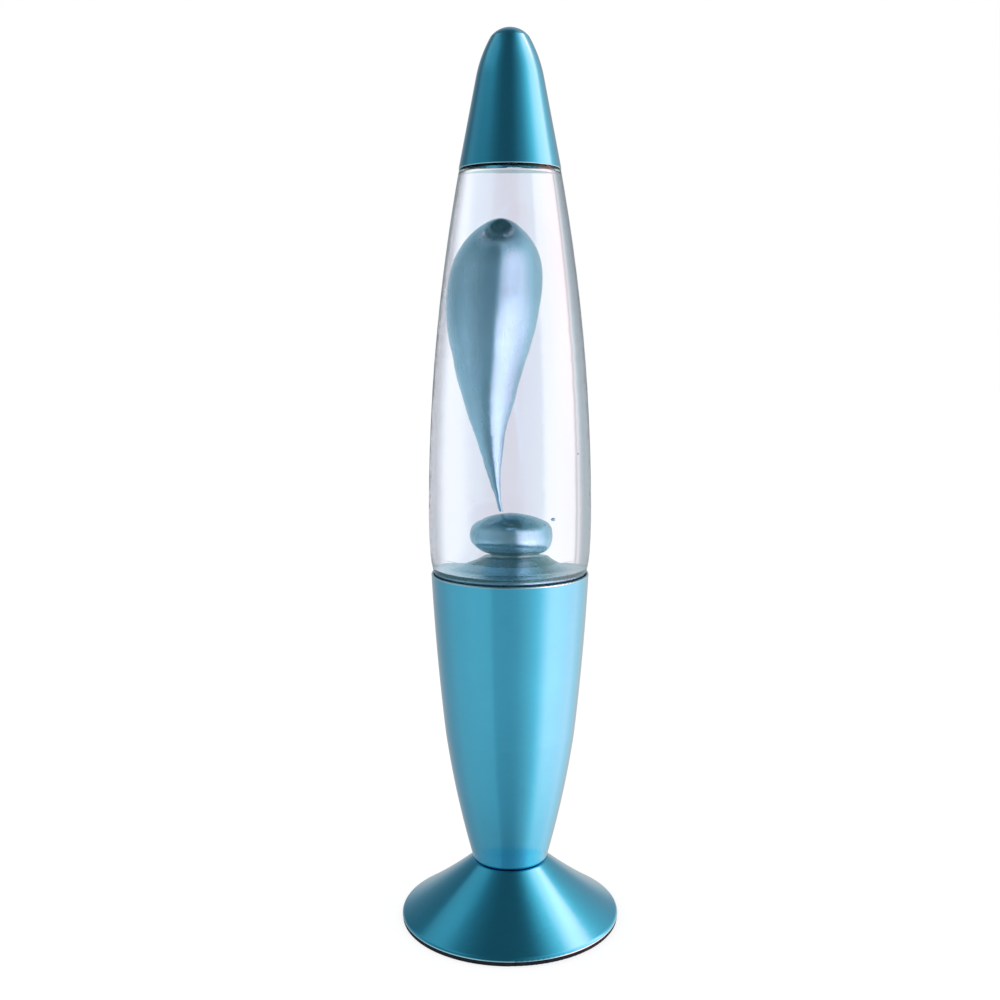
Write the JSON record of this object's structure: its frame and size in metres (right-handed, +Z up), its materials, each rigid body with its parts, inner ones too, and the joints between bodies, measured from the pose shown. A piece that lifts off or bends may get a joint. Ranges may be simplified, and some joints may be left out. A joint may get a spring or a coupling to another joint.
{
  "type": "lava lamp",
  "caption": "Table lamp: a glass bottle of clear liquid with rising coloured wax, set between a pointed metal cap and a waisted metal base that holds the bulb.",
  "frame": {"origin": "centre of the foot ring's underside, on the table", "axes": "+Z up along the lamp's axis of symmetry, +Y towards the back where the cord inlet is"},
  "size_m": [0.1022, 0.1022, 0.406],
  "materials": {
    "spun_metal": "spun and anodised, satin teal",
    "foot_rubber": "matt black moulded rubber",
    "grommet_rubber": "matt black moulded rubber",
    "black_plastic": "fine-grained black moulding",
    "holder_plastic": "white thermoset moulding",
    "block_plastic": "natural nylon moulding",
    "steel": "bright zinc plate",
    "screw_zinc": "zinc plated",
    "brass_rod": "plain threaded brass",
    "brass_parts": "pressed brass",
    "solder": "solder",
    "bulb_black_glass": "opaque vitrite glass",
    "bulb_glass": "clear bulb glass",
    "bulb_silver": "vacuum-deposited mirror",
    "lead_brown": "brown insulation",
    "lead_blue": "blue insulation",
    "lead_green": "green and yellow insulation",
    "bottle_glass": "clear flint glass",
    "clear_liquid": "clear liquid with a faint lavender-blue tint",
    "wax": "satin metallic blue-grey wax",
    "liner_plastic": "soft sealing liner",
    "closure_steel": "tin-plated steel"
  },
  "bodies": {
    "base": {"base_foot": "spun_metal", "base_cup": "spun_metal", "foot_ring": "foot_rubber", "bottom_cover": "black_plastic", "cover_brackets": "steel", "cover_screws": "screw_zinc", "cord_grommet": "grommet_rubber", "nipple": "brass_rod", "nipple_nut": "steel", "earth_tag": "brass_parts", "lock_washer": "steel", "holder_base": "holder_plastic", "holder_body": "holder_plastic", "holder_shell": "brass_parts", "contact_spring": "steel", "holder_clamps": "brass_parts", "holder_clamp_screws": "screw_zinc", "terminal_block": "block_plastic", "terminal_screws": "screw_zinc", "live_lead": "lead_brown", "neutral_lead": "lead_blue", "earth_lead": "lead_green"},
    "contact": {"holder_contact": "brass_parts"},
    "bulb": {"bulb_tip": "solder", "bulb_insulator": "bulb_black_glass", "bulb_shell": "brass_parts", "bulb_envelope": "bulb_glass", "bulb_mirror": "bulb_silver", "bulb_stem": "bulb_glass", "bulb_wires": "steel", "bulb_filament": "steel"},
    "bottle": {"bottle_glass": "bottle_glass", "wax_pool": "wax", "liquid": "clear_liquid", "wax_beads": "wax", "coil": "steel", "crown_liner": "liner_plastic", "crown_closure": "closure_steel"},
    "drop": {"wax_drop": "wax"},
    "cap": {"cap": "spun_metal"}
  },
  "joints": [
    {"name": "bottle_lift", "type": "slide", "parent": "base", "child": "bottle", "axis": [0, 0, 1], "range_m": [0, 0.1]},
    {"name": "cap_lift", "type": "slide", "parent": "bottle", "child": "cap", "axis": [0, 0, 1], "range_m": [0, 0.07]},
    {"name": "wax_rise", "type": "slide", "parent": "bottle", "child": "drop", "axis": [0, 0, 1], "range_m": [0, 0.014], "deforming": ["liquid"]},
    {"name": "bulb_unscrew", "type": "hinge", "parent": "base", "child": "bulb", "pos_m": [0, 0, 0.05], "axis": [0, 0, 1], "range_deg": [0, 1080]},
    {"name": "contact_press", "type": "slide", "parent": "base", "child": "contact", "axis": [0, 0, 1], "range_m": [-0.001, 0], "stiffness_N_per_m": 500, "deforming": ["contact_spring"]}
  ]
}
